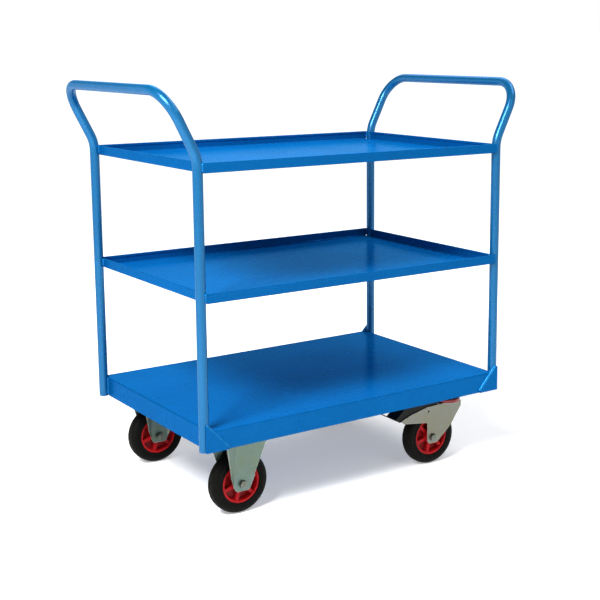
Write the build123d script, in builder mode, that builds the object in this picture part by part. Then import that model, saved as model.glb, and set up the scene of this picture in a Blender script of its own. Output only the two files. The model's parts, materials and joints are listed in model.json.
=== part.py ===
from build123d import *
import math
import os

os.makedirs("parts", exist_ok=True)

# ---- driving dimensions, millimetres ---------------------------------------
# X runs along the trolley towards the swivel castors, Y across it, Z up.
# The origin is on the floor at the middle of the trolley.
SHELF_LENGTH = 908.0
SHELF_WIDTH = 616.0
SHEET = 2.0
LIP_HEIGHT = 25.0
HEM_WIDTH = 4.5
HEM_HEIGHT = 6.0
FOLD_RADIUS = 4.0

DECK_TOP = 252.0
DECK_BOTTOM = 200.0
MIDDLE_SHELF_Z = 564.0
TOP_SHELF_Z = 873.0

TUBE_RADIUS = 12.5
TUBE_WALL = 1.5
POST_X = 462.0
POST_Y = 293.3
POST_BOTTOM = 201.0
KICK_Z = 907.0
KICK_RADIUS = 90.0
HANDLE_X = 541.0
HANDLE_Z = 1064.0
HANDLE_RADIUS = 78.0

GUSSET_OUTER = 466.0
GUSSET_INNER = 402.0
GUSSET_TOP = 268.0
GUSSET_THICKNESS = 5.0

WHEEL_RADIUS = 80.0
TYRE_WIDTH = 40.0
TYRE_BORE = 52.2
SPOKE_PHASE = 17.0
HUB_LENGTH = 46.0
HUB_RADIUS = 21.0
BEARING_RADIUS = 15.0
SLEEVE_RADIUS = 8.0
AXLE_RADIUS = 6.0
RUNNING_CLEARANCE = 0.05

PLATE_LENGTH = 135.0
PLATE_WIDTH = 110.0
PLATE_THICKNESS = 4.0
PLATE_TOP = 200.0
BOLT_PITCH_X = 105.0
BOLT_PITCH_Y = 62.0
BOLT_RADIUS = 5.0

CHANNEL_WIDTH = 150.0
CHANNEL_SHEET = 3.0
RIB_WIDTH = 40.0
RIB_DEPTH = 25.0

CASTOR_Y = 232.5
FIXED_X = -338.0
SWIVEL_X = 345.5
SWIVEL_TRAIL = 66.0
FRONT_SWIVEL_ANGLE = -2.5
BACK_SWIVEL_ANGLE = 0.0

LEG_PANEL = 24.5
LEG_BEND_Z = 104.0
LEG_FOOT_Z = 61.5
FORK_SHEET = 3.0
FORK_INNER = 23.5
FORK_OUTER = FORK_INNER + FORK_SHEET
CROWN_TOP = 172.0
RACE_RADIUS = 24.0
BALL_RADIUS = 4.3
PEDAL_SHEET = 2.0
PEDAL_OUTER = 23.0
PIVOT_X = -15.5
PIVOT_Z = 157.0
PIVOT_RADIUS = 3.5
BRAKE_ANGLE = 8.0
SHOE_CLEARANCE = 0.5


def save(part, name, place=None):
    """Label one piece, put it where it belongs and write its STEP file."""
    out = part if place is None else part.moved(place)
    out.label = name
    export_step(out, f"parts/{name}.step")


def corner_points(x, y):
    """The four mirrored copies of one point in plan."""
    return [(-x, -y), (x, -y), (-x, y), (x, y)]


# ---- end frames: one bent tube each, both posts and the push bar ------------
lean = Vector(HANDLE_X - POST_X, 0, HANDLE_Z - KICK_Z).normalized()
kick_angle = math.atan2(HANDLE_X - POST_X, HANDLE_Z - KICK_Z)
kick_tangent = KICK_RADIUS * math.tan(kick_angle / 2)


def end_frame():
    """The frame at the +X end; the other one is its mirror image."""
    foot = Vector(POST_X, -POST_Y, POST_BOTTOM)
    kick = Vector(POST_X, -POST_Y, KICK_Z)
    corner = Vector(HANDLE_X, -POST_Y, HANDLE_Z)
    across = Vector(0, 1, 0)
    up = Vector(0, 0, 1)
    kick_start = kick - up * kick_tangent
    kick_end = kick + lean * kick_tangent
    bend_start = corner - lean * HANDLE_RADIUS
    bend_end = corner + across * HANDLE_RADIUS
    bar_middle = Vector(HANDLE_X, 0, HANDLE_Z)
    with BuildPart() as frame:
        with BuildLine() as path:
            Line(foot, kick_start)
            TangentArc(kick_start, kick_end, tangent=up)
            Line(kick_end, bend_start)
            TangentArc(bend_start, bend_end, tangent=lean)
            Line(bend_end, bar_middle)
            mirror(about=Plane.XZ)
        with BuildSketch(Plane(origin=foot, z_dir=(0, 0, 1))):
            Circle(TUBE_RADIUS)
            Circle(TUBE_RADIUS - TUBE_WALL, mode=Mode.SUBTRACT)
        sweep(path=path.wire())
    return frame.part


right_frame = end_frame()
save(right_frame, "end_frame_right")
save(right_frame.mirror(Plane.YZ), "end_frame_left")

# Plastic caps closing the open feet of the four posts.
with BuildPart() as caps:
    with BuildSketch(Plane.XY.offset(POST_BOTTOM - 2)):
        with Locations(*corner_points(POST_X, POST_Y)):
            Circle(TUBE_RADIUS)
    extrude(amount=2)
    chamfer(caps.edges().group_by(Axis.Z)[0], 0.8)
    with BuildSketch(Plane.XY.offset(POST_BOTTOM)):
        with Locations(*corner_points(POST_X, POST_Y)):
            Circle(TUBE_RADIUS - TUBE_WALL - 0.05)
    extrude(amount=14)
save(caps.part, "post_caps")


# ---- sheet-steel shelves and deck -------------------------------------------
def post_notches(z):
    """Plan of the corner reliefs that let the posts stand inside the long lips."""
    notch_inner_x = POST_X - TUBE_RADIUS - 0.3
    notch_outer_x = SHELF_LENGTH / 2 + 1
    notch_inner_y = POST_Y - TUBE_RADIUS - 0.3
    notch_outer_y = SHELF_WIDTH / 2 - SHEET
    mid_x = (notch_inner_x + notch_outer_x) / 2
    mid_y = (notch_inner_y + notch_outer_y) / 2
    with BuildSketch(Plane.XY.offset(z)) as notches:
        with Locations(*corner_points(mid_x, mid_y)):
            Rectangle(notch_outer_x - notch_inner_x, notch_outer_y - notch_inner_y)
    return notches.sketch


def shelf(z_low):
    """An open tray with its lips turned up and their top edges hemmed inwards."""
    notches = post_notches(z_low - 1)
    with BuildPart() as tray:
        with BuildSketch(Plane.XY.offset(z_low)):
            Rectangle(SHELF_LENGTH, SHELF_WIDTH)
        extrude(amount=LIP_HEIGHT)
        fillet(tray.faces().sort_by(Axis.Z)[0].edges(), FOLD_RADIUS)
        offset(amount=-SHEET, openings=tray.faces().sort_by(Axis.Z)[-1])
        with BuildSketch(Plane.XY.offset(z_low + LIP_HEIGHT - HEM_HEIGHT)):
            Rectangle(SHELF_LENGTH, SHELF_WIDTH)
            Rectangle(SHELF_LENGTH - 2 * HEM_WIDTH, SHELF_WIDTH - 2 * HEM_WIDTH, mode=Mode.SUBTRACT)
        extrude(amount=HEM_HEIGHT)
        fillet(tray.faces().sort_by(Axis.Z)[-1].edges(), 1.4)
        extrude(notches, amount=LIP_HEIGHT + 2, mode=Mode.SUBTRACT)
    return tray.part


save(shelf(TOP_SHELF_Z), "top_shelf")
save(shelf(MIDDLE_SHELF_Z), "middle_shelf")

deck_depth = DECK_TOP - DECK_BOTTOM
deck_notches = post_notches(DECK_BOTTOM - 1)
with BuildPart() as deck:
    with BuildSketch(Plane.XY.offset(DECK_BOTTOM)):
        Rectangle(SHELF_LENGTH, SHELF_WIDTH)
    extrude(amount=deck_depth)
    fillet(deck.faces().sort_by(Axis.Z)[-1].edges(), FOLD_RADIUS)
    offset(amount=-SHEET, openings=deck.faces().sort_by(Axis.Z)[0])
    extrude(deck_notches, amount=deck_depth + 2, mode=Mode.SUBTRACT)
save(deck.part, "base_deck")


# Two deep channels under the deck carry the castors from skirt to skirt.
def castor_channel(x):
    flange_height = DECK_TOP - SHEET - DECK_BOTTOM
    half_y = SHELF_WIDTH / 2 - FOLD_RADIUS
    with BuildPart() as channel:
        with BuildSketch(Plane.XZ.offset(-half_y)):
            with Locations((x, DECK_BOTTOM + flange_height / 2)):
                Rectangle(CHANNEL_WIDTH, flange_height)
            with Locations((x, DECK_BOTTOM + flange_height / 2 + CHANNEL_SHEET)):
                Rectangle(CHANNEL_WIDTH - 2 * CHANNEL_SHEET, flange_height, mode=Mode.SUBTRACT)
        extrude(amount=2 * half_y)
        fillet(channel.edges().filter_by(Axis.Y).group_by(Axis.Z)[0], 3)
        with BuildSketch(Plane.XY.offset(DECK_BOTTOM)):
            with Locations((x, -CASTOR_Y), (x, CASTOR_Y)):
                with GridLocations(BOLT_PITCH_X, BOLT_PITCH_Y, 2, 2):
                    Circle(BOLT_RADIUS + 0.4)
        extrude(amount=CHANNEL_SHEET, mode=Mode.SUBTRACT)
    return channel.part


save(castor_channel(FIXED_X), "castor_channel_left")
save(castor_channel(SWIVEL_X), "castor_channel_right")

# A folded rib stiffens the middle of the deck between the two channels.
with BuildPart() as rib:
    with BuildSketch(Plane.XZ.offset(FOLD_RADIUS - SHELF_WIDTH / 2)):
        with Locations((0, DECK_TOP - SHEET - RIB_DEPTH / 2)):
            Rectangle(RIB_WIDTH, RIB_DEPTH)
        with Locations((0, DECK_TOP - RIB_DEPTH / 2)):
            Rectangle(RIB_WIDTH - 2 * SHEET, RIB_DEPTH, mode=Mode.SUBTRACT)
    extrude(amount=SHELF_WIDTH - 2 * FOLD_RADIUS)
    fillet(rib.edges().filter_by(Axis.Y).group_by(Axis.Z)[0], 2)
save(rib.part, "deck_rib")


# ---- corner gussets on the long faces, post to skirt -------------------------
def gusset(side_x, side_y):
    face = side_y * SHELF_WIDTH / 2
    with BuildPart() as plate:
        with BuildSketch(Plane.XZ.offset(-face)):
            with BuildLine():
                Polyline(
                    (side_x * GUSSET_OUTER, DECK_BOTTOM),
                    (side_x * GUSSET_OUTER, GUSSET_TOP),
                    (side_x * (GUSSET_OUTER - 3), GUSSET_TOP),
                    (side_x * GUSSET_INNER, DECK_BOTTOM + 2),
                    (side_x * GUSSET_INNER, DECK_BOTTOM),
                    close=True,
                )
            make_face()
        extrude(amount=-side_y * GUSSET_THICKNESS)
        fillet(plate.edges().filter_by(Axis.Y), 0.8)
    return plate.part


for side_name, side_x in (("left", -1), ("right", 1)):
    for row_name, side_y in (("front", -1), ("back", 1)):
        save(gusset(side_x, side_y), f"gusset_{row_name}_{side_name}")


# ---- weld beads ---------------------------------------------------------------
def corner_beads(z_low, z_high):
    """Two upright beads at every post: one on each of the two lips it meets."""
    lip_end = SHELF_LENGTH / 2
    side_face = SHELF_WIDTH / 2
    notch_y = POST_Y - TUBE_RADIUS - 0.3
    with BuildPart() as beads:
        with BuildSketch(Plane.XY.offset(z_low)):
            with Locations(*corner_points(lip_end + 1.2, side_face - 3.6)):
                Circle(3.4)
            with Locations(*corner_points(lip_end - 0.6, notch_y + 2.4)):
                Circle(3.4)
            with Locations(*corner_points(POST_X, POST_Y)):
                Circle(TUBE_RADIUS + 0.02, mode=Mode.SUBTRACT)
            with Locations((0, side_face - SHEET / 2), (0, SHEET / 2 - side_face)):
                Rectangle(2 * lip_end, SHEET + 0.04, mode=Mode.SUBTRACT)
            Rectangle(2 * lip_end + 0.04, 2 * notch_y + 0.04, mode=Mode.SUBTRACT)
            Rectangle(2 * (POST_X - TUBE_RADIUS), 2 * side_face, mode=Mode.SUBTRACT)
        extrude(amount=z_high - z_low)
    return beads.part


save(corner_beads(TOP_SHELF_Z + 3, TOP_SHELF_Z + LIP_HEIGHT - 2), "top_shelf_welds")
save(corner_beads(MIDDLE_SHELF_Z + 3, MIDDLE_SHELF_Z + LIP_HEIGHT - 2), "middle_shelf_welds")
save(corner_beads(DECK_BOTTOM + 2, DECK_TOP - 3), "deck_welds")

# A fillet weld follows the sloping edge of every gusset down the skirt.
with BuildPart() as gusset_beads:
    rise = GUSSET_TOP - DECK_BOTTOM - 2
    run = GUSSET_OUTER - 3 - GUSSET_INNER
    slope = Vector(run, 0, rise).normalized()
    reach = (DECK_TOP - FOLD_RADIUS - DECK_BOTTOM - 4) / slope.Z
    start = Vector(GUSSET_INNER, -SHELF_WIDTH / 2, DECK_BOTTOM + 2) + slope * 0.5
    with BuildSketch(Plane(origin=start, x_dir=(0, -1, 0), z_dir=slope)):
        with BuildLine():
            Polyline((0.02, -0.02), (GUSSET_THICKNESS - 0.6, -0.02), (0.02, -5.5), close=True)
        make_face()
    extrude(amount=reach)
    mirror(about=Plane.YZ)
    mirror(about=Plane.XZ)
save(gusset_beads.part, "gusset_welds")


# ---- castor fasteners ----------------------------------------------------------
castor_points = [(FIXED_X, -CASTOR_Y), (FIXED_X, CASTOR_Y), (SWIVEL_X, -CASTOR_Y), (SWIVEL_X, CASTOR_Y)]
plate_low = PLATE_TOP - PLATE_THICKNESS
web_top = DECK_BOTTOM + CHANNEL_SHEET


def plate_pattern(points, z, outer, inner=0.0, hexagon=False):
    """The same outline at all four holes of the plates centred on the given points."""
    with BuildSketch(Plane.XY.offset(z)) as pattern:
        for point in points:
            with Locations(point):
                with GridLocations(BOLT_PITCH_X, BOLT_PITCH_Y, 2, 2):
                    if hexagon:
                        RegularPolygon(outer, 6, major_radius=False)
                    else:
                        Circle(outer)
                    if inner:
                        Circle(inner, mode=Mode.SUBTRACT)
    return pattern.sketch


bolt_heads = plate_pattern(castor_points, plate_low - 6.4, 8.5, hexagon=True)
bolt_shanks = plate_pattern(castor_points, plate_low, BOLT_RADIUS)
with BuildPart() as bolts:
    extrude(bolt_heads, amount=6.4)
    extrude(bolt_shanks, amount=web_top + 15 - plate_low)
save(bolts.part, "castor_bolts")

washer_rings = plate_pattern(castor_points, web_top, 10, BOLT_RADIUS + 0.2)
with BuildPart() as washers:
    extrude(washer_rings, amount=2)
save(washers.part, "castor_washers")

nut_rings = plate_pattern(castor_points, web_top + 2, 8.5, BOLT_RADIUS, hexagon=True)
with BuildPart() as nuts:
    extrude(nut_rings, amount=8)
save(nuts.part, "castor_nuts")


# ---- fixed castor brackets -------------------------------------------------------
def leg_section(z, panel_y, half_tip, tip_y):
    """Plan of one pressed leg: a flat panel between two wings that turn outwards."""
    wing = Vector(half_tip - LEG_PANEL, tip_y - panel_y).normalized()
    tip_shift = FORK_SHEET * wing.Y
    bend_shift = FORK_SHEET * math.tan(math.atan2(wing.Y, wing.X) / 2)
    tip_inner = tip_y - FORK_SHEET * wing.X
    with BuildSketch(Plane.XY.offset(z)) as section:
        with BuildLine():
            Polyline(
                (-half_tip, -tip_y),
                (-LEG_PANEL, -panel_y),
                (LEG_PANEL, -panel_y),
                (half_tip, -tip_y),
                (half_tip + tip_shift, -tip_inner),
                (LEG_PANEL + bend_shift, FORK_SHEET - panel_y),
                (-LEG_PANEL - bend_shift, FORK_SHEET - panel_y),
                (-half_tip - tip_shift, -tip_inner),
                close=True,
            )
        make_face()
    return section.sketch


def fixed_bracket():
    """Top plate and two flared legs, rounded under the axle."""
    leg_top = leg_section(plate_low + 1, 44, 64, 54.5)
    leg_shoulder = leg_section(plate_low - 9, 40.5, 54.5, 51)
    leg_bend = leg_section(LEG_BEND_Z, FORK_OUTER, 33.2, FORK_OUTER + 4)
    bolt_holes = plate_pattern([(0, 0)], plate_low, BOLT_RADIUS + 0.4)
    with BuildPart() as bracket:
        loft([leg_bend, leg_shoulder], ruled=True)
        loft([leg_shoulder, leg_top], ruled=True)
        extrude(leg_bend, amount=-46)
        with BuildSketch(Plane.XZ.offset(60)):
            with Locations((0, LEG_BEND_Z - 27)):
                Rectangle(90, 54)
            with BuildLine():
                Polyline(
                    (-46, LEG_BEND_Z + 1), (-46, LEG_BEND_Z), (-35.5, LEG_BEND_Z), (-24, 72),
                    (-19, LEG_FOOT_Z), (19, LEG_FOOT_Z), (24, 72), (35.5, LEG_BEND_Z), (46, LEG_BEND_Z),
                    (46, LEG_BEND_Z + 1), close=True,
                )
            make_face(mode=Mode.SUBTRACT)
        extrude(amount=-60, mode=Mode.SUBTRACT)
        foot_corners = bracket.edges().filter_by(Axis.Y).filter_by_position(Axis.Z, 60, 64)
        fillet(foot_corners, 9)
        mirror(about=Plane.XZ)
        with BuildSketch(Plane.XY.offset(plate_low)):
            RectangleRounded(PLATE_LENGTH, PLATE_WIDTH, 8)
        extrude(amount=PLATE_THICKNESS)
        extrude(bolt_holes, amount=PLATE_THICKNESS, mode=Mode.SUBTRACT)
        with BuildSketch(Plane.XZ.offset(60)):
            with Locations((0, WHEEL_RADIUS)):
                Circle(AXLE_RADIUS + 0.2)
        extrude(amount=-120, mode=Mode.SUBTRACT)
    return bracket.part


fixed_part = fixed_bracket()
save(fixed_part, "fixed_bracket_front", Location((FIXED_X, -CASTOR_Y, 0)))
save(fixed_part, "fixed_bracket_back", Location((FIXED_X, CASTOR_Y, 0)))


# ---- axles: bolt, nut and sleeve, each built at its own wheel centre ---------------
def axle_bolt(half_grip):
    with BuildPart() as bolt:
        with BuildSketch(Plane.XZ.offset(half_grip)):
            RegularPolygon(9, 6, major_radius=False)
        extrude(amount=7.5)
        with BuildSketch(Plane.XZ.offset(half_grip)):
            Circle(AXLE_RADIUS)
        extrude(amount=-2 * half_grip - 13)
    return bolt.part


def axle_nut(half_grip):
    with BuildPart() as nut:
        with BuildSketch(Plane.XZ.offset(-half_grip)):
            RegularPolygon(9, 6, major_radius=False)
            Circle(AXLE_RADIUS, mode=Mode.SUBTRACT)
        extrude(amount=-10)
    return nut.part


def axle_sleeve():
    with BuildPart() as sleeve:
        with BuildSketch(Plane.XZ.offset(FORK_INNER - 0.1)):
            Circle(SLEEVE_RADIUS)
            Circle(AXLE_RADIUS, mode=Mode.SUBTRACT)
        extrude(amount=-2 * FORK_INNER + 0.2)
    return sleeve.part


bolt_part = axle_bolt(FORK_OUTER)
nut_part = axle_nut(FORK_OUTER)
sleeve_part = axle_sleeve()
front_hub = Location((FIXED_X, -CASTOR_Y, WHEEL_RADIUS), (0, 0, 0))
back_hub = Location((FIXED_X, CASTOR_Y, WHEEL_RADIUS), (0, 0, 180))
save(Compound([bolt_part.moved(front_hub), bolt_part.moved(back_hub)]), "fixed_axle_bolts")
save(Compound([nut_part.moved(front_hub), nut_part.moved(back_hub)]), "fixed_axle_nuts")
save(Compound([sleeve_part.moved(front_hub), sleeve_part.moved(back_hub)]), "fixed_axle_sleeves")


# ---- wheels: rubber tyre on a ribbed plastic centre with a roller bearing -----------
def wheel_tyre():
    half = TYRE_WIDTH / 2
    with BuildPart() as tyre:
        with BuildSketch(Plane.XY) as section:
            with Locations(((WHEEL_RADIUS + TYRE_BORE) / 2, 0)):
                Rectangle(WHEEL_RADIUS - TYRE_BORE, TYRE_WIDTH)
            fillet(section.vertices().group_by(Axis.X)[-1], 15)
            with Locations((TYRE_BORE, half), (TYRE_BORE, -half)):
                Rectangle(4, 4, mode=Mode.SUBTRACT)
        revolve(axis=Axis.Y)
    return tyre.part


def wheel_centre():
    """Hub, web and rim in one moulding with six spokes standing off each side."""
    rim_half = TYRE_WIDTH / 2 - 2.5
    with BuildPart() as centre:
        with BuildSketch(Plane.XY):
            with BuildLine():
                Polyline(
                    (BEARING_RADIUS, HUB_LENGTH / 2),
                    (HUB_RADIUS - 1, HUB_LENGTH / 2),
                    (HUB_RADIUS + 1, 3.5),
                    (TYRE_BORE - 8.5, 3.5),
                    (TYRE_BORE - 5, rim_half),
                    (TYRE_BORE, rim_half),
                    (TYRE_BORE, 0),
                    (BEARING_RADIUS, 0),
                    close=True,
                )
            make_face()
            mirror(about=Plane.XZ)
        revolve(axis=Axis.Y)
        with BuildSketch(Plane.XZ.offset(-rim_half + 3)):
            with PolarLocations((HUB_RADIUS + TYRE_BORE - 6) / 2, 6, start_angle=SPOKE_PHASE):
                Rectangle(TYRE_BORE - 4 - HUB_RADIUS, 9)
        extrude(amount=2 * rim_half - 6)
    return centre.part


def wheel_bearing():
    with BuildPart() as bearing:
        with BuildSketch(Plane.XZ.offset(HUB_LENGTH / 2 - 1)):
            Circle(BEARING_RADIUS)
            Circle(SLEEVE_RADIUS + RUNNING_CLEARANCE, mode=Mode.SUBTRACT)
        extrude(amount=-HUB_LENGTH + 2)
    return bearing.part


tyre_part = wheel_tyre()
centre_part = wheel_centre()
bearing_part = wheel_bearing()


def save_wheel(name, place):
    save(tyre_part, f"tyre_{name}", place)
    save(centre_part, f"wheel_centre_{name}", place)
    save(bearing_part, f"wheel_bearing_{name}", place)


save_wheel("fixed_front", front_hub)
save_wheel("fixed_back", Location((FIXED_X, CASTOR_Y, WHEEL_RADIUS)))


# ---- swivel castors, drawn with the wheel centre at x = 0, y = 0 ---------------------
def swivel_plate():
    """Bolted top plate with the pressed cup of the swivel head under it."""
    bolt_holes = plate_pattern([(0, 0)], plate_low, BOLT_RADIUS + 0.4)
    with BuildPart() as plate:
        with BuildSketch(Plane.XY.offset(plate_low)):
            RectangleRounded(PLATE_LENGTH, PLATE_WIDTH, 8)
        extrude(amount=PLATE_THICKNESS)
        with BuildSketch(Plane.XY.offset(CROWN_TOP + 12)):
            Circle(34)
        extrude(amount=plate_low - CROWN_TOP - 12)
        with BuildSketch(Plane.XY.offset(CROWN_TOP + 16)):
            Circle(28)
        extrude(amount=PLATE_TOP - CROWN_TOP - 16, mode=Mode.SUBTRACT)
        with BuildSketch(Plane.XY.offset(CROWN_TOP + 12)):
            Circle(AXLE_RADIUS)
        extrude(amount=4, mode=Mode.SUBTRACT)
        extrude(bolt_holes, amount=PLATE_THICKNESS, mode=Mode.SUBTRACT)
    return plate.part


def king_pin():
    with BuildPart() as pin:
        with BuildSketch(Plane.XY.offset(CROWN_TOP + 16)):
            Circle(12)
        extrude(amount=5)
        fillet(pin.edges().group_by(Axis.Z)[-1], 2)
        with BuildSketch(Plane.XY.offset(CROWN_TOP + 16)):
            Circle(AXLE_RADIUS)
        extrude(amount=-29)
    return pin.part


def king_nut():
    with BuildPart() as nut:
        with BuildSketch(Plane.XY.offset(CROWN_TOP - FORK_SHEET - 10.4)):
            RegularPolygon(9.5, 6, major_radius=False)
            Circle(AXLE_RADIUS, mode=Mode.SUBTRACT)
        extrude(amount=10)
    return nut.part


def swivel_fork():
    """Pressed fork: crown under the ball race, two cheeks with ears over the pedal."""
    with BuildPart() as fork:
        with BuildSketch(Plane.XZ.offset(FORK_OUTER)):
            with BuildLine():
                Polyline(
                    (30, 172), (98, 172), (98, 157), (62, 105.5), (14, 62.5), (-19, 62.5),
                    (-19, 124.5), (-98.8, 134.5), (-109, 143.5), (-74, 157), (-22.5, 169.5), close=True,
                )
            make_face()
        extrude(amount=-FORK_SHEET)
        cheek_edges = fork.edges().filter_by(Axis.Y)
        fillet(cheek_edges.filter_by_position(Axis.Z, 60, 64), 12)
        fillet(fork.edges().filter_by(Axis.Y).filter_by_position(Axis.X, -120, -95), 2.5)
        fillet(fork.edges().filter_by(Axis.Y).filter_by_position(Axis.Z, 123, 126), 5)
        mirror(about=Plane.XZ)
        with BuildSketch(Plane.XY.offset(CROWN_TOP - FORK_SHEET)):
            with Locations((64, 0)):
                Rectangle(68, 2 * FORK_INNER)
            with Locations((SWIVEL_TRAIL, 0)):
                Circle(36)
        extrude(amount=FORK_SHEET)
        with BuildSketch(Plane.XY.offset(CROWN_TOP)):
            with Locations((SWIVEL_TRAIL, 0)):
                Circle(31)
                Circle(14, mode=Mode.SUBTRACT)
        extrude(amount=4)
        with BuildSketch(Plane.XY.offset(CROWN_TOP + 4)):
            with Locations((SWIVEL_TRAIL, 0)):
                Circle(RACE_RADIUS + 3.2)
                Circle(RACE_RADIUS - 3.2, mode=Mode.SUBTRACT)
        extrude(amount=-1.2, mode=Mode.SUBTRACT)
        with BuildSketch(Plane.XY.offset(CROWN_TOP - FORK_SHEET)):
            with Locations((SWIVEL_TRAIL, 0)):
                Circle(AXLE_RADIUS + RUNNING_CLEARANCE)
        extrude(amount=FORK_SHEET, mode=Mode.SUBTRACT)
        with BuildSketch(Plane.XZ.offset(FORK_OUTER)):
            with Locations((0, WHEEL_RADIUS)):
                Circle(AXLE_RADIUS + 0.2)
            with Locations((PIVOT_X, PIVOT_Z)):
                Circle(PIVOT_RADIUS)
        extrude(amount=-2 * FORK_OUTER, mode=Mode.SUBTRACT)
    return fork.part


def dust_ring():
    with BuildPart() as ring:
        with BuildSketch(Plane.XY.offset(CROWN_TOP)):
            with Locations((SWIVEL_TRAIL, 0)):
                Circle(38)
                Circle(32, mode=Mode.SUBTRACT)
        extrude(amount=9)
        fillet(ring.edges().group_by(Axis.Z)[-1].sort_by(SortBy.LENGTH)[-1], 2)
    return ring.part


def race_balls():
    with BuildPart() as balls:
        with Locations((SWIVEL_TRAIL, 0, CROWN_TOP + 2.8 + BALL_RADIUS + 0.3)):
            with PolarLocations(RACE_RADIUS, 12):
                Sphere(BALL_RADIUS)
    return balls.part


def brake_pivots():
    """Two short rivets the pedal turns on, one through each cheek."""
    with BuildPart() as pins:
        with BuildSketch(Plane.XZ.offset(FORK_OUTER - 0.8)):
            with Locations((PIVOT_X, PIVOT_Z)):
                Circle(PIVOT_RADIUS)
        extrude(amount=-6.2)
        mirror(about=Plane.XZ)
    return pins.part


def brake_pedal():
    """Folded hood over the tyre, turned on the cheeks, with a sloping foot plate."""
    with BuildPart() as pedal:
        with BuildSketch(Plane.XZ.offset(PEDAL_OUTER)):
            with BuildLine():
                Polyline(
                    (18, 178), (0, 183), (-83, 187.15), (-124, 149.3), (-110.5, 140.5),
                    (-24, 146), (0, 149), (18, 164), close=True,
                )
            make_face()
        extrude(amount=-2 * PEDAL_OUTER)
        with BuildSketch(Plane.XZ.offset(PEDAL_OUTER - PEDAL_SHEET)):
            with BuildLine():
                Polyline(
                    (20, 120), (20, 175.3), (0, 180.9), (-82.3, 185.0), (-119, 151.1),
                    (-107, 143.5), (-107, 120), close=True,
                )
            make_face()
        extrude(amount=-2 * (PEDAL_OUTER - PEDAL_SHEET), mode=Mode.SUBTRACT)
        with BuildSketch(Plane.XZ.offset(PEDAL_OUTER)):
            with BuildLine():
                Polyline((-110.5, 139.5), (-186, 181), (-184.8, 183.2), (-109.3, 141.7), close=True)
            make_face()
        extrude(amount=-2 * PEDAL_OUTER)
        with BuildSketch(Plane.XZ.offset(PEDAL_OUTER)):
            with Locations((PIVOT_X, PIVOT_Z)):
                Circle(PIVOT_RADIUS + RUNNING_CLEARANCE)
        extrude(amount=-2 * PEDAL_OUTER, mode=Mode.SUBTRACT)
    return pedal.part


def shoe_point(polar_angle):
    """A point of the shoe face at rest that meets the tread when the pedal is down."""
    reach = WHEEL_RADIUS + SHOE_CLEARANCE
    arm_x = reach * math.cos(math.radians(polar_angle)) - PIVOT_X
    arm_z = WHEEL_RADIUS + reach * math.sin(math.radians(polar_angle)) - PIVOT_Z
    lift = math.radians(BRAKE_ANGLE)
    x = PIVOT_X + arm_x * math.cos(lift) + arm_z * math.sin(lift)
    z = PIVOT_Z - arm_x * math.sin(lift) + arm_z * math.cos(lift)
    return (x, z)


def brake_shoe():
    """Block under the lever, hollowed to fit the tread."""
    upper = shoe_point(122)
    lower = shoe_point(146)
    hood_slope = 6 / 120
    hood_z = 180.85
    with BuildPart() as shoe:
        with BuildSketch(Plane.XZ.offset(16)):
            with BuildLine():
                ThreePointArc(upper, shoe_point(134), lower)
                Polyline(
                    lower,
                    (lower[0] - 3, lower[1] + 2),
                    (lower[0] - 3, hood_z - hood_slope * (lower[0] - 3)),
                    (upper[0], hood_z - hood_slope * upper[0]),
                    upper,
                )
            make_face()
        extrude(amount=-32)
    return shoe.part


plate_part = swivel_plate()
pin_part = king_pin()
king_nut_part = king_nut()
fork_parts = {
    "swivel_fork": swivel_fork(),
    "dust_ring": dust_ring(),
    "race_balls": race_balls(),
    "brake_pivots": brake_pivots(),
    "brake_pedal": brake_pedal(),
    "brake_shoe": brake_shoe(),
}
head_places = []
for row_name, side_y, angle in (("front", -1, FRONT_SWIVEL_ANGLE), ("back", 1, BACK_SWIVEL_ANGLE)):
    head = Location((SWIVEL_X, side_y * CASTOR_Y, 0))
    head_places.append(head)
    turned = head * Location((0, 0, 0), (0, 0, angle)) * Location((-SWIVEL_TRAIL, 0, 0))
    hub = turned * Location((0, 0, WHEEL_RADIUS))
    save(plate_part, f"swivel_plate_{row_name}", head)
    for part_name, part in fork_parts.items():
        save(part, f"{part_name}_{row_name}", turned)
    outward = hub if side_y < 0 else hub * Location((0, 0, 0), (0, 0, 180))
    save(bolt_part, f"swivel_axle_bolt_{row_name}", outward)
    save(nut_part, f"swivel_axle_nut_{row_name}", outward)
    save(sleeve_part, f"swivel_axle_sleeve_{row_name}", hub)
    save_wheel(f"swivel_{row_name}", hub)
save(Compound([pin_part.moved(place) for place in head_places]), "king_pins")
save(Compound([king_nut_part.moved(place) for place in head_places]), "king_nuts")
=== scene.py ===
import json
import math

import bmesh
import bpy
from mathutils import Matrix, Vector


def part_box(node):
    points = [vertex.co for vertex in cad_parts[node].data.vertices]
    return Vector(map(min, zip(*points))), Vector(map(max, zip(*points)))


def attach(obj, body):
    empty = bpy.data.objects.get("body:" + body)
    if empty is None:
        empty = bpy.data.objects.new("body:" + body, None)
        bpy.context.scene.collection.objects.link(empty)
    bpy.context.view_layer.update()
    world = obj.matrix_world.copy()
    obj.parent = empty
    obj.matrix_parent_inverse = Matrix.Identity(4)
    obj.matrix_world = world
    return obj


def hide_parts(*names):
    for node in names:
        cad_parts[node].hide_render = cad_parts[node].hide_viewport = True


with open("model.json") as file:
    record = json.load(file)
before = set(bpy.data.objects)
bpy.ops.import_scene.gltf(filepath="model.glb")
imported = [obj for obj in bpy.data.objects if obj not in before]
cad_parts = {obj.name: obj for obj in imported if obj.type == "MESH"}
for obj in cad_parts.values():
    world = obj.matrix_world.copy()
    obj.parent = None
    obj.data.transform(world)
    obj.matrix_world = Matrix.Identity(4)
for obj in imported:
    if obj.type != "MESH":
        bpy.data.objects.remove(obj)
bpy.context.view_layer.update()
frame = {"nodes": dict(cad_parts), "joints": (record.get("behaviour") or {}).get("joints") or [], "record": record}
nodes = frame["nodes"]
joints = {j["name"]: j for j in frame["joints"]}


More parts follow.
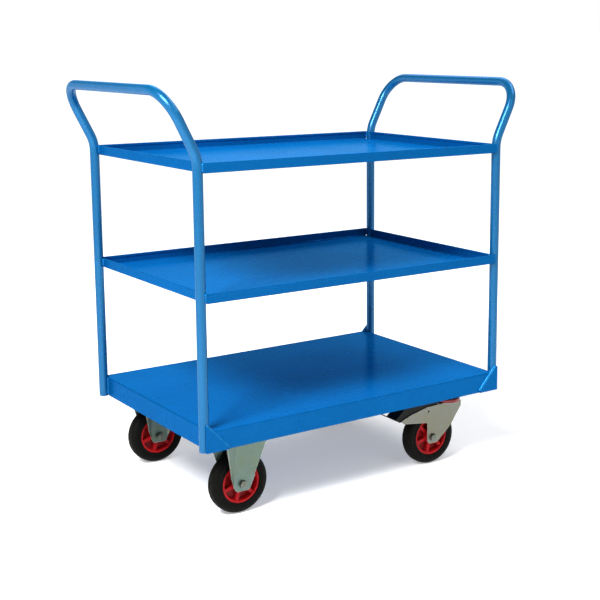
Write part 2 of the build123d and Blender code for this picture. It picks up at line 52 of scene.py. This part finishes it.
# ---- small helpers for node-based materials -----------------------------------
class Material:
    """A node tree with a Principled surface and short ways to add nodes to it."""

    def __init__(self, name):
        self.material = bpy.data.materials.new(name)
        self.material.use_nodes = True
        self.tree = self.material.node_tree
        self.surface = self.tree.nodes["Principled BSDF"]
        self.coordinates = self.tree.nodes.new("ShaderNodeTexCoord").outputs["Object"]

    def put(self, socket, value):
        if isinstance(value, bpy.types.NodeSocket):
            self.tree.links.new(value, socket)
        else:
            socket.default_value = value

    def math(self, operation, *values, clamp=False):
        node = self.tree.nodes.new("ShaderNodeMath")
        node.operation = operation
        node.use_clamp = clamp
        for socket, value in zip(node.inputs, values):
            self.put(socket, value)
        return node.outputs[0]

    def vector(self, operation, *values):
        node = self.tree.nodes.new("ShaderNodeVectorMath")
        node.operation = operation
        for socket, value in zip(node.inputs, values):
            self.put(socket, value)
        return node.outputs["Value" if operation in ("LENGTH", "DOT_PRODUCT") else "Vector"]

    def noise(self, scale, detail=2.0, roughness=0.5, where=None):
        node = self.tree.nodes.new("ShaderNodeTexNoise")
        self.put(node.inputs["Vector"], where or self.coordinates)
        node.inputs["Scale"].default_value = scale
        node.inputs["Detail"].default_value = detail
        node.inputs["Roughness"].default_value = roughness
        return node.outputs["Fac"]

    def span(self, value, from_low, from_high, to_low=0.0, to_high=1.0):
        node = self.tree.nodes.new("ShaderNodeMapRange")
        for key, number in zip(("From Min", "From Max"), (from_low, from_high)):
            node.inputs[key].default_value = number
        for key, number in zip(("To Min", "To Max"), (to_low, to_high)):
            node.inputs[key].default_value = number
        self.put(node.inputs["Value"], value)
        return node.outputs["Result"]

    def mix(self, factor, first, second):
        node = self.tree.nodes.new("ShaderNodeMix")
        node.data_type = "RGBA"
        self.put(node.inputs[0], factor)
        self.put(node.inputs[6], (*first, 1) if isinstance(first, tuple) else first)
        self.put(node.inputs[7], (*second, 1) if isinstance(second, tuple) else second)
        return node.outputs[2]

    def bump(self, height, strength, distance, under=None):
        node = self.tree.nodes.new("ShaderNodeBump")
        node.inputs["Strength"].default_value = strength
        node.inputs["Distance"].default_value = distance
        self.put(node.inputs["Height"], height)
        if under is not None:
            self.put(node.inputs["Normal"], under)
        return node.outputs["Normal"]

    def rounded(self, radius, samples=4):
        """A shading normal that rolls over sharp edges."""
        node = self.tree.nodes.new("ShaderNodeBevel")
        node.samples = samples
        node.inputs["Radius"].default_value = radius
        return node.outputs["Normal"]

    def surface_normal(self):
        return self.tree.nodes.new("ShaderNodeNewGeometry").outputs["True Normal"]

    def edges(self, radius, samples=6):
        """One on sharp edges, zero on flat faces."""
        turn = self.vector("DOT_PRODUCT", self.rounded(radius, samples), self.surface_normal())
        return self.span(turn, 0.995, 0.90)

    def finish(self, **sockets):
        for key, value in sockets.items():
            self.put(self.surface.inputs[key.replace("_", " ")], value)
        return self.material


def wheel_frame(m, hub, angle):
    """Distance from the wheel's axle and position along it."""
    centred = m.vector("SUBTRACT", m.coordinates, hub)
    turn = m.tree.nodes.new("ShaderNodeVectorRotate")
    turn.rotation_type = "Z_AXIS"
    turn.inputs["Angle"].default_value = -angle
    m.put(turn.inputs["Vector"], centred)
    axes = m.tree.nodes.new("ShaderNodeSeparateXYZ")
    m.put(axes.inputs[0], turn.outputs[0])
    x, y, z = axes.outputs
    radius = m.math("SQRT", m.math("ADD", m.math("MULTIPLY", x, x), m.math("MULTIPLY", z, z)))
    return radius, y


# ---- materials -------------------------------------------------------------------
def scaled(colour, factor):
    return tuple(min(1.0, channel * factor) for channel in colour)


def blue_paint(name, base=(0.0014, 0.083, 0.262), coat=0.04, coat_roughness=0.16):
    """Powder coat: orange peel, faint scuffs, painted light on its upward faces and a painted highlight along its
    sharp edges.
    """
    m = Material(name)
    cloud = m.span(m.noise(2.3, 3), 0.35, 0.65)
    colour = m.mix(cloud, scaled(base, 0.94), scaled(base, 1.06))
    # Painted light: faces that point up are mixed towards a lighter blue, as if lit from above.
    lit_top_mask = m.span(m.vector("DOT_PRODUCT", m.surface_normal(), (0, 0, 1)), 0.75, 0.98)
    painted_light = m.mix(m.span(m.noise(5, 4, 0.6), 0.3, 0.7), scaled(base, 1.62), scaled(base, 1.86))
    colour = m.mix(lit_top_mask, colour, painted_light)
    # Painted highlight: sharp edges are mixed towards a pale blue, broken up by noise.
    edge = m.math("MULTIPLY", m.edges(0.0012), m.span(m.noise(55, 4, 0.6), 0.40, 0.72))
    colour = m.mix(m.math("MULTIPLY", edge, 0.25), colour, (0.02, 0.24, 0.58))
    scuffs = m.span(m.noise(26, 5, 0.7), 0.45, 0.80)
    sheen = m.span(m.noise(7, 3, 0.5), 0.3, 0.7, 0.24, 0.28)
    rough = m.math("ADD", sheen, m.math("MULTIPLY", scuffs, 0.04))
    peel = m.bump(m.noise(560, 2), 0.05, 0.0004, m.rounded(0.0011))
    waves = m.bump(m.noise(3.5, 1), 0.05, 0.005, peel)
    return m.finish(
        Base_Color=colour, Roughness=rough, Normal=waves, Metallic=0.45,
        Specular_IOR_Level=0.0, Specular_Tint=(0.04, 0.62, 1.0, 1.0),
        Coat_Weight=coat, Coat_Roughness=coat_roughness,
    )


def zinc(name, base=(0.170, 0.178, 0.155), painted_light=0.75):
    """Zinc plate: cool grey with faint yellow passivation clouds and a painted highlight along its edges."""
    m = Material(name)
    cloud = m.span(m.noise(24, 4, 0.6), 0.35, 0.68)
    colour = m.mix(cloud, base, (base[0] * 0.98, base[1] * 0.90, base[2] * 0.72))
    grime = m.span(m.noise(120, 5, 0.65), 0.56, 0.82)
    colour = m.mix(m.math("MULTIPLY", grime, 0.30), colour, scaled(base, 0.45))
    # Painted highlight: sharp edges are mixed towards a pale metal colour; the third argument sets how strong.
    painted_edge_highlight = m.math("MULTIPLY", m.edges(0.0013), painted_light)
    colour = m.mix(painted_edge_highlight, colour, (0.62, 0.60, 0.56))
    rough = m.span(m.noise(75, 5, 0.65), 0.3, 0.75, 0.30, 0.46)
    grain = m.bump(m.noise(900, 2), 0.10, 0.0003, m.rounded(0.0010))
    dents = m.bump(m.noise(30, 2), 0.10, 0.0008, grain)
    return m.finish(Base_Color=colour, Metallic=1.0, Roughness=rough, Normal=dents)


def tyre_rubber(name):
    """Black rubber with a faint bloom of dust and a fine moulded skin."""
    m = Material(name)
    dust = m.span(m.noise(60, 5, 0.65), 0.48, 0.82)
    colour = m.mix(m.math("MULTIPLY", dust, 0.35), (0.0024, 0.0026, 0.0020), (0.008, 0.008, 0.007))
    normal = m.bump(m.noise(700, 3, 0.6), 0.25, 0.0004, m.rounded(0.0006))
    rough = m.span(m.noise(90, 4), 0.3, 0.7, 0.46, 0.60)
    return m.finish(Base_Color=colour, Roughness=rough, Normal=normal, Specular_IOR_Level=0.06)


def wheel_plastic(name, hub, angle, base=(0.33, 0.0050, 0.0072)):
    """Red moulded plastic with flow clouds, turned rings, grime, and painted shade that darkens its pockets
    towards the web.
    """
    m = Material(name)
    radius, along = wheel_frame(m, hub, angle)
    cloud = m.span(m.noise(45, 3), 0.35, 0.7)
    colour = m.mix(cloud, scaled(base, 0.85), scaled(base, 1.15))
    grime = m.math("MULTIPLY", m.span(m.noise(160, 5, 0.65), 0.55, 0.8), 0.35)
    # Painted shade: the colour darkens towards the wheel's middle plane, deep in its pockets, merged with the
    # grime noise.
    depth = m.span(m.math("ABSOLUTE", along), 0.0045, 0.0150)
    pocket_shade = m.math("SUBTRACT", 1.0, depth)
    grime = m.math("MAXIMUM", grime, m.math("MULTIPLY", pocket_shade, 0.50))
    colour = m.mix(grime, colour, (0.060, 0.003, 0.004))
    rings = m.math("SINE", m.math("MULTIPLY", radius, 2 * math.pi / 0.0022))
    normal = m.bump(m.noise(520, 2), 0.15, 0.0003, m.rounded(0.0009))
    normal = m.bump(rings, 0.06, 0.0003, normal)
    rough = m.span(m.noise(40, 3), 0.3, 0.7, 0.28, 0.40)
    return m.finish(Base_Color=colour, Roughness=rough, Normal=normal, Specular_IOR_Level=0.1)


def moulded_plastic(name, base, rough_low=0.35, rough_high=0.5):
    m = Material(name)
    cloud = m.span(m.noise(70, 3), 0.35, 0.7)
    colour = m.mix(cloud, scaled(base, 0.85), scaled(base, 1.2))
    rough = m.span(m.noise(120, 3), 0.3, 0.7, rough_low, rough_high)
    normal = m.bump(m.noise(800, 2), 0.2, 0.0003, m.rounded(0.0006))
    return m.finish(Base_Color=colour, Roughness=rough, Normal=normal)


def black_coat(name):
    """Black lacquered steel of the brake pedal, rubbed bright where shoes touch it."""
    m = Material(name)
    scuff = m.math("MULTIPLY", m.edges(0.0012), m.span(m.noise(90, 4, 0.6), 0.42, 0.7))
    colour = m.mix(m.math("MULTIPLY", scuff, 0.5), (0.0035, 0.0042, 0.0035), (0.16, 0.16, 0.15))
    rough = m.span(m.noise(50, 4), 0.3, 0.7, 0.32, 0.46)
    normal = m.bump(m.noise(600, 2), 0.15, 0.0003, m.rounded(0.0008))
    return m.finish(Base_Color=colour, Roughness=rough, Normal=normal, Specular_IOR_Level=0.15)


def ground_steel(name, base=(0.42, 0.42, 0.41)):
    m = Material(name)
    cloud = m.span(m.noise(200, 4, 0.6), 0.35, 0.7)
    colour = m.mix(cloud, base, scaled(base, 0.7))
    rough = m.span(m.noise(350, 3), 0.3, 0.7, 0.22, 0.40)
    normal = m.bump(m.noise(1500, 2), 0.1, 0.0002, m.rounded(0.0005))
    return m.finish(Base_Color=colour, Metallic=1.0, Roughness=rough, Normal=normal)


def hub_of(joint_name):
    """The middle of a wheel and the turn of its axle away from Y."""
    joint = joints[joint_name]
    axis = Vector(joint["axis"])
    return Vector(joint["pos_m"]), math.atan2(-axis.x, axis.y)


paint = blue_paint("powder_coat")
tube_paint = blue_paint("tube_powder_coat", (0.0016, 0.098, 0.245), 0.45, 0.30)
# Painted highlight: a lighter copy of the powder coat for the corner weld beads, so that they show as bright
# blobs.
weld_highlight_paint = blue_paint("weld_highlight_paint", (0.002, 0.11, 0.32), 0.2)
# Painted highlight: a lighter copy of the powder coat for the gusset weld beads, standing in for key light
# catching them.
gusset_highlight_paint = blue_paint("gusset_weld_paint", (0.004, 0.17, 0.44), 0.3)
zinc_plate = zinc("zinc_plate")
# Painted reflection: a cyan-tinted copy of the zinc for the fixed brackets, standing in for the blue frame
# reflected in them.
blue_reflection_zinc = zinc("blue_reflection_zinc", (0.118, 0.170, 0.155))
bolt_zinc = zinc("bolt_zinc", (0.125, 0.14, 0.122), 0.40)
pedal_coat = black_coat("black_coat")
tyre_black = tyre_rubber("tyre_black")
shoe_rubber = moulded_plastic("shoe_rubber", (0.010, 0.010, 0.010), 0.55, 0.7)
cap_plastic = moulded_plastic("cap_plastic", (0.004, 0.075, 0.22), 0.4, 0.55)
ring_plastic = moulded_plastic("ring_plastic", (0.20, 0.005, 0.010))
bearing_steel = ground_steel("bearing_steel")

wheels = {
    "fixed_front": "spin_fixed_front",
    "fixed_back": "spin_fixed_back",
    "swivel_front": "spin_swivel_front",
    "swivel_back": "spin_swivel_back",
}
by_slot = {
    "blue_paint": paint,
    "zinc": zinc_plate,
    "bearing_steel": bearing_steel,
    "ring_plastic": ring_plastic,
    "pedal_black": pedal_coat,
    "shoe_rubber": shoe_rubber,
    "cap_plastic": cap_plastic,
    "tyre_rubber": tyre_black,
}
own_finish = {
    "fixed_bracket_front": blue_reflection_zinc, "fixed_bracket_back": blue_reflection_zinc,
    "end_frame_left": tube_paint, "end_frame_right": tube_paint,
    "brake_pivots_front": pedal_coat, "brake_pivots_back": pedal_coat,
}
for wheel, joint_name in wheels.items():
    hub, angle = hub_of(joint_name)
    own_finish["wheel_centre_" + wheel] = wheel_plastic("wheel_plastic_" + wheel, tuple(hub), angle)
for entry in frame["record"]["subparts"]:
    mesh = nodes[entry["node"]].data
    mesh.materials.clear()
    mesh.materials.append(own_finish.get(entry["node"]) or by_slot[entry["material_slot"]])


# ---- small mesh builders ------------------------------------------------------------
# Each adds to a bmesh. Turned shapes are drawn along the local Z axis of "place".
def join_rings(bm, rings, around=True, along=False):
    """Quads between neighbouring rings of vertices."""
    count = len(rings[0])
    for index in range(len(rings) - (0 if along else 1)):
        low, high = rings[index], rings[(index + 1) % len(rings)]
        for k in range(count if around else count - 1):
            n = (k + 1) % count
            bm.faces.new((low[k], low[n], high[n], high[k]))


def ring_at(bm, place, radii, height):
    """A ring of vertices; radii holds one radius for each of its points."""
    step = 2 * math.pi / len(radii)
    return [bm.verts.new(place @ Vector((r * math.cos(k * step), r * math.sin(k * step), height)))
            for k, r in enumerate(radii)]


def turned(bm, place, profile, segments=64, closed=False):
    """A profile of (radius, height) points turned round the axis."""
    rings = [ring_at(bm, place, [r] * segments, z) for r, z in profile]
    join_rings(bm, rings, along=closed)


def hexagon(bm, place, flat, height, bore=0.0, both_ends=False):
    """A hexagon head or nut whose corners are turned down by the usual chamfer."""
    count = 48
    sixth = math.pi / 3
    outline = [flat / math.cos((2 * math.pi * k / count) % sixth - sixth / 2) for k in range(count)]
    drop = [(r - flat) * 0.6 + flat * 0.02 for r in outline]
    step = 2 * math.pi / count
    face = [flat * 0.94] * count

    def edge_ring(heights):
        return [bm.verts.new(place @ Vector((r * math.cos(k * step), r * math.sin(k * step), z)))
                for k, (r, z) in enumerate(zip(outline, heights))]

    rings = [ring_at(bm, place, face, 0.0)]
    rings.append(edge_ring(drop if both_ends else [0.0] * count))
    rings.append(edge_ring([height - d for d in drop]))
    rings.append(ring_at(bm, place, face, height))
    if bore:
        rings.append(ring_at(bm, place, [bore * 1.12] * count, height))
        rings.append(ring_at(bm, place, [bore] * count, height - bore * 0.12))
        rings.append(ring_at(bm, place, [bore] * count, bore * 0.12))
        rings.append(ring_at(bm, place, [bore * 1.12] * count, 0.0))
    join_rings(bm, rings, along=bool(bore))
    if not bore:
        bm.faces.new(rings[0][::-1])
        bm.faces.new(rings[-1])


def threaded_rod(bm, place, radius, start, end, pitch):
    """A screw thread between two heights, with its last turn chamfered away."""
    segments = 24
    root = radius - 0.55 * pitch
    rows = int(2 * (end - start) / pitch) + 4
    columns = []
    for k in range(segments + 1):
        angle = 2 * math.pi * k / segments
        column = []
        for row in range(rows):
            z = start + (row - 2 + 2 * k / segments) * pitch / 2
            inside = start < z < end - pitch * 0.4
            r = radius if row % 2 and inside else root
            z = min(max(z, start), end)
            column.append(bm.verts.new(place @ Vector((r * math.cos(angle), r * math.sin(angle), z))))
        columns.append(column)
    for near, far in zip(columns, columns[1:]):
        for row in range(rows - 1):
            bm.faces.new((near[row], far[row], far[row + 1], near[row + 1]))


def weld_bead(bm, start, end, radius, pitch=0.0026, wander=0.0, seed=0.0):
    """Overlapping ripples of weld metal from one point to another, with rounded ends."""
    run = end - start
    length = run.length
    direction = run.normalized()
    side = direction.orthogonal().normalized()
    lift = direction.cross(side)
    steps = max(8, int(length / pitch * 6))
    points = 14
    rings = []
    for step in range(steps + 1):
        s = length * step / steps
        phase = (s / pitch + seed) % 1.0
        from_end = min(s, length - s) / radius
        rounding = math.sqrt(max(0.0, 1 - (1 - min(1.0, from_end)) ** 2))
        r = radius * (0.84 + 0.16 * math.sqrt(1 - (2 * phase - 1) ** 2)) * max(0.12, rounding)
        drift = wander * math.sin(s / pitch * 0.9 + seed * 7)
        centre = start + direction * s + side * drift
        rings.append([
            bm.verts.new(centre + (side * math.cos(a) + lift * math.sin(a)) * r)
            for a in (2 * math.pi * k / points for k in range(points))
        ])
    join_rings(bm, rings)
    bm.faces.new(rings[0][::-1])
    bm.faces.new(rings[-1])


def piece(name, bm, body, finish, slot, *replaced, sharp=35):
    """Turn a bmesh into an object that rides on a body and stands for CAD nodes."""
    bmesh.ops.remove_doubles(bm, verts=bm.verts, dist=1e-6)
    open_edges = [edge for edge in bm.edges if len(edge.link_faces) == 1]
    if open_edges:
        bmesh.ops.holes_fill(bm, edges=open_edges)
    bmesh.ops.recalc_face_normals(bm, faces=bm.faces)
    mesh = bpy.data.meshes.new(name)
    bm.to_mesh(mesh)
    bm.free()
    mesh.shade_smooth()
    mesh.set_sharp_from_angle(angle=math.radians(sharp))
    mesh.materials.append(finish)
    made = bpy.data.objects.new(name, mesh)
    bpy.context.scene.collection.objects.link(made)
    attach(made, body)
    if replaced:
        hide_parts(*replaced)
    return made


def axis_place(origin, axis):
    """A placement whose local Z runs along the axis."""
    turn = Vector(axis).to_track_quat("Z", "Y").to_matrix().to_4x4()
    return Matrix.Translation(Vector(origin)) @ turn


# ---- rippled welds --------------------------------------------------------------------
shelf_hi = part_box("top_shelf")[1]
caps_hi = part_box("post_caps")[1]
tube_radius = 0.0125
post_y = caps_hi.y - tube_radius
lip_x = shelf_hi.x
lip_y = shelf_hi.y


def corner_welds(name, node):
    """Two upright beads at each post, with a blob where each run stops at the top."""
    lo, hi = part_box(node)
    bm = bmesh.new()
    for side_x in (-1, 1):
        for side_y in (-1, 1):
            outer = Vector((side_x * (lip_x + 0.0010), side_y * (lip_y - 0.0034), 0))
            inner = Vector((side_x * (lip_x - 0.0008), side_y * (post_y - tube_radius + 0.0022), 0))
            for number, foot in enumerate((outer, inner)):
                seed = 0.3 * number + 0.2 * side_x + 0.1 * side_y
                bottom = foot + Vector((0, 0, lo.z))
                top = foot + Vector((0, 0, hi.z + 0.0012))
                weld_bead(bm, bottom, top, 0.0034, 0.0028, 0.0003, seed)
                blob_foot = top - Vector((0, 0, 0.0070))
                blob_head = top + Vector((0, 0, 0.0008))
                weld_bead(bm, blob_foot, blob_head, 0.0040, 0.0040, 0, seed)
    piece(name, bm, "chassis", weld_highlight_paint, "blue_paint", node, sharp=70)


corner_welds("top_shelf_weld_ripples", "top_shelf_welds")
corner_welds("middle_shelf_weld_ripples", "middle_shelf_welds")
corner_welds("deck_weld_ripples", "deck_welds")

gusset_lo, gusset_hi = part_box("gusset_front_right")
bm = bmesh.new()
slope_foot = Vector((gusset_lo.x, 0, gusset_lo.z + 0.002))
slope_head = Vector((gusset_hi.x - 0.003, 0, gusset_hi.z))
slope = (slope_head - slope_foot).normalized()
outward = Vector((-slope.z, 0, slope.x))
for side_x in (-1, 1):
    for side_y in (-1, 1):
        ends = []
        for point in (slope_foot + slope * 0.002, slope_head):
            at = point + outward * 0.0008
            ends.append(Vector((side_x * at.x, side_y * (lip_y - 0.0010), at.z)))
        bead = 0.0057 if side_x > 0 else 0.0036
        weld_bead(bm, ends[0], ends[1], bead, 0.0034, 0.0002, 0.25 * side_x + 0.4 * side_y)
piece("gusset_weld_ripples", bm, "chassis", gusset_highlight_paint, "blue_paint", "gusset_welds", sharp=70)


# ---- fasteners with chamfers and threads ---------------------------------------------
def axle_bolt(bm, hub, outward, half_grip, end):
    """Head outside the leg, shank through the wheel, thread through the nut."""
    head = axis_place(hub + outward * half_grip, outward)
    hexagon(bm, head, 0.0090, 0.0075)
    shank = axis_place(hub + outward * half_grip, -outward)
    turned(bm, shank, [(0.0060, 0), (0.0060, 2 * half_grip - 0.002), (0.0056, 2 * half_grip - 0.001)], 32)
    threaded_rod(bm, shank, 0.0060, 2 * half_grip - 0.002, 2 * half_grip + end, 0.00175)


def axle_nut(bm, hub, outward, half_grip):
    hexagon(bm, axis_place(hub - outward * half_grip, -outward), 0.0090, 0.0100, 0.0059, True)


half_grip = 0.0265
thread_end = 0.0130
bolts, nuts = bmesh.new(), bmesh.new()
for wheel in ("fixed_front", "fixed_back"):
    hub, angle = hub_of(wheels[wheel])
    outward_y = Vector((0, -1, 0)) if hub.y < 0 else Vector((0, 1, 0))
    axle_bolt(bolts, hub, outward_y, half_grip, thread_end)
    axle_nut(nuts, hub, outward_y, half_grip)
piece("fixed_axle_bolt_detail", bolts, "chassis", bolt_zinc, "zinc", "fixed_axle_bolts")
piece("fixed_axle_nut_detail", nuts, "chassis", bolt_zinc, "zinc", "fixed_axle_nuts")
for side in ("front", "back"):
    joint = joints["spin_swivel_" + side]
    hub = Vector(joint["pos_m"])
    axis = Vector(joint["axis"]).normalized()
    outward_y = -axis if hub.y < 0 else axis
    bolts, nuts = bmesh.new(), bmesh.new()
    axle_bolt(bolts, hub, outward_y, half_grip, thread_end)
    axle_nut(nuts, hub, outward_y, half_grip)
    body = "castor_" + side
    piece(f"swivel_axle_bolt_detail_{side}", bolts, body, bolt_zinc, "zinc", "swivel_axle_bolt_" + side)
    piece(f"swivel_axle_nut_detail_{side}", nuts, body, bolt_zinc, "zinc", "swivel_axle_nut_" + side)

washer_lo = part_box("castor_washers")[0]
nut_lo, nut_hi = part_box("castor_nuts")
bolt_lo, bolt_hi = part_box("castor_bolts")
bolt_step_x, bolt_step_y = 0.0525, 0.0310
bolt_flat = 0.0085
head_height = 0.0064
plate_low = bolt_lo.z + head_height
washer_ring = [
    (0.0052, 0), (0.0098, 0), (0.0100, 0.0003),
    (0.0100, 0.0017), (0.0098, 0.0020), (0.0052, 0.0020),
]
nut_height = nut_hi.z - nut_lo.z
fixed_hub = hub_of("spin_fixed_front")[0]
swivel_head = Vector(joints["swivel_front"]["pos_m"])
bolts, nuts, washers = bmesh.new(), bmesh.new(), bmesh.new()
for centre in (fixed_hub, swivel_head):
    for side_y in (-1, 1):
        for step_x in (-bolt_step_x, bolt_step_x):
            for step_y in (-bolt_step_y, bolt_step_y):
                x, y = centre.x + step_x, side_y * abs(centre.y) + step_y
                hexagon(bolts, axis_place((x, y, plate_low), (0, 0, -1)), bolt_flat, head_height)
                upright = axis_place((x, y, plate_low), (0, 0, 1))
                tall = bolt_hi.z - plate_low
                threaded_rod(bolts, upright, 0.0050, 0.0005, tall, 0.0015)
                nut_seat = axis_place((x, y, nut_lo.z), (0, 0, 1))
                hexagon(nuts, nut_seat, bolt_flat, nut_height, 0.0049, True)
                washer_seat = axis_place((x, y, washer_lo.z), (0, 0, 1))
                turned(washers, washer_seat, washer_ring, 40, closed=True)
piece("castor_bolt_detail", bolts, "chassis", bolt_zinc, "zinc", "castor_bolts")
piece("castor_nut_detail", nuts, "chassis", bolt_zinc, "zinc", "castor_nuts")
piece("castor_washer_detail", washers, "chassis", bolt_zinc, "zinc", "castor_washers")


# ---- tyres and bearings -----------------------------------------------------------------
def tyre_profile(outer, bore, half):
    """Section of a cushion tyre: ribbed crown, rounded shoulders, a raised ring on each wall."""
    crown = half - 0.0150
    points = []
    for side in (1, -1):
        wall = [
            (bore, half - 0.0020), (bore + 0.0020, half - 0.0020), (bore + 0.0022, half - 0.0002),
            (bore + 0.0042, half), (bore + 0.0062, half - 0.0002), (bore + 0.0066, half - 0.0010),
            (bore + 0.0078, half - 0.0010), (bore + 0.0082, half - 0.0003),
        ]
        steps = 14
        for step in range(steps + 1):
            a = math.pi / 2 * step / steps
            bulge = (outer - 0.0150 + 0.0150 * math.sin(a), crown + 0.0150 * math.cos(a))
            wall.append(bulge)
        ribs = []
        for centre in (0.0036, 0.0009):
            ribs += [(outer, centre + 0.0006), (outer - 0.0010, centre + 0.0004)]
            ribs += [(outer - 0.0010, centre - 0.0004), (outer, centre - 0.0006)]
        run = wall + ribs
        run = [(r, side * z) for r, z in run]
        points += run if side == 1 else run[::-1]
    return points


rollers = 12
roller_shape = [
    (0.0, -0.0205), (0.0022, -0.0205), (0.0026, -0.0198),
    (0.0026, 0.0198), (0.0022, 0.0205), (0.0, 0.0205),
]
for wheel, joint_name in wheels.items():
    joint = joints[joint_name]
    hub, body = Vector(joint["pos_m"]), joint["child"]
    place = axis_place(hub, joint["axis"])
    bm = bmesh.new()
    turned(bm, place, tyre_profile(0.080, 0.0522, 0.020), 120, closed=True)
    piece("tyre_detail_" + wheel, bm, body, tyre_black, "tyre_rubber", "tyre_" + wheel, sharp=38)
    bm = bmesh.new()
    half = 0.022
    shell = [
        (0.0150, -half), (0.0150, half), (0.0146, half + 0.0004),
        (0.0140, half), (0.0140, -half), (0.0146, -half - 0.0004),
    ]
    turned(bm, place, shell, 48, closed=True)
    for number in range(rollers):
        a = 2 * math.pi * number / rollers
        roller = place @ Matrix.Translation((0.0112 * math.cos(a), 0.0112 * math.sin(a), 0))
        turned(bm, roller, roller_shape, 12)
    for end in (-1, 1):
        inner, outer = end * 0.0206, end * 0.0218
        cage = [(0.0085, inner), (0.0138, inner), (0.0138, outer), (0.0085, outer)]
        turned(bm, place, cage, 48, closed=True)
    piece("roller_bearing_" + wheel, bm, body, bearing_steel, "bearing_steel", "wheel_bearing_" + wheel)


# ---- stage, light and camera -------------------------------------------------------
def plain_mesh(name, corners, faces):
    mesh = bpy.data.meshes.new(name)
    mesh.from_pydata(corners, [], faces)
    made = bpy.data.objects.new(name, mesh)
    bpy.context.scene.collection.objects.link(made)
    return made


# The floor glows a little more with distance, so that it runs into the white backdrop.
floor = plain_mesh("floor", [(-60, -60, 0), (60, -60, 0), (60, 60, 0), (-60, 60, 0)], [(0, 1, 2, 3)])
floor_paint = Material("floor")
away = floor_paint.vector("LENGTH", floor_paint.coordinates)
glow = floor_paint.span(away, 0.7, 2.4, 0.34, 1.0)
floor.data.materials.append(
    floor_paint.finish(
        Base_Color=(0.82, 0.82, 0.82, 1), Roughness=0.9, Specular_IOR_Level=0.0,
        Emission_Color=(1, 1, 1, 1), Emission_Strength=glow,
    )
)


def area_light(name, place, target, size, power, colour=(1, 1, 1)):
    data = bpy.data.lights.new(name, "AREA")
    data.shape = "RECTANGLE"
    data.size, data.size_y = size
    data.energy = power
    data.color = colour
    lamp = bpy.data.objects.new(name, data)
    lamp.location = place
    lamp.rotation_mode = "QUATERNION"
    lamp.rotation_quaternion = (Vector(target) - Vector(place)).to_track_quat("-Z", "Y")
    bpy.context.scene.collection.objects.link(lamp)
    return lamp


area_light("key", (-2.30, -1.25, 2.75), (0, 0, 0.4), (1.1, 1.1), 225)
area_light("back", (1.3, 1.7, 2.8), (0, 0, 0.5), (2.4, 1.6), 30)
area_light("right", (1.7, -0.5, 3.0), (0, 0, 0.5), (1.8, 1.6), 40)
area_light("front", (0.3, -2.8, 2.8), (0, 0, 0.4), (2.0, 1.6), 18)

# A white backdrop band round the horizon under a dimmer ceiling.
world = bpy.data.worlds.new("studio")
bpy.context.scene.world = world
world.use_nodes = True
tree = world.node_tree
direction = tree.nodes.new("ShaderNodeTexCoord").outputs["Generated"]
axes = tree.nodes.new("ShaderNodeSeparateXYZ")
tree.links.new(direction, axes.inputs[0])
ceiling = tree.nodes.new("ShaderNodeMapRange")
ceiling.interpolation_type = "SMOOTHSTEP"
for key, number in (("From Min", 0.16), ("From Max", 0.42), ("To Min", 1.0), ("To Max", 0.08)):
    ceiling.inputs[key].default_value = number
tree.links.new(axes.outputs["Z"], ceiling.inputs["Value"])
tree.links.new(ceiling.outputs["Result"], tree.nodes["Background"].inputs["Strength"])
tree.nodes["Background"].inputs["Color"].default_value = (1, 1, 1, 1)

bpy.context.scene.view_settings.view_transform = "Standard"

camera_data = bpy.data.cameras.new("camera")
camera_data.sensor_width = 36
camera_data.lens = 71.606
camera_data.shift_x = -0.1086
camera_data.shift_y = -0.0755
camera_data.dof.use_dof = False
camera = bpy.data.objects.new("camera", camera_data)
camera.location = (-1.7611, -2.7484, 1.1685)
yaw, pitch = math.radians(35.906), math.radians(10.022)
forward = Vector((math.sin(yaw) * math.cos(pitch), math.cos(yaw) * math.cos(pitch), -math.sin(pitch)))
camera.rotation_mode = "QUATERNION"
camera.rotation_quaternion = forward.to_track_quat("-Z", "Y")
bpy.context.scene.collection.objects.link(camera)
bpy.context.scene.camera = camera
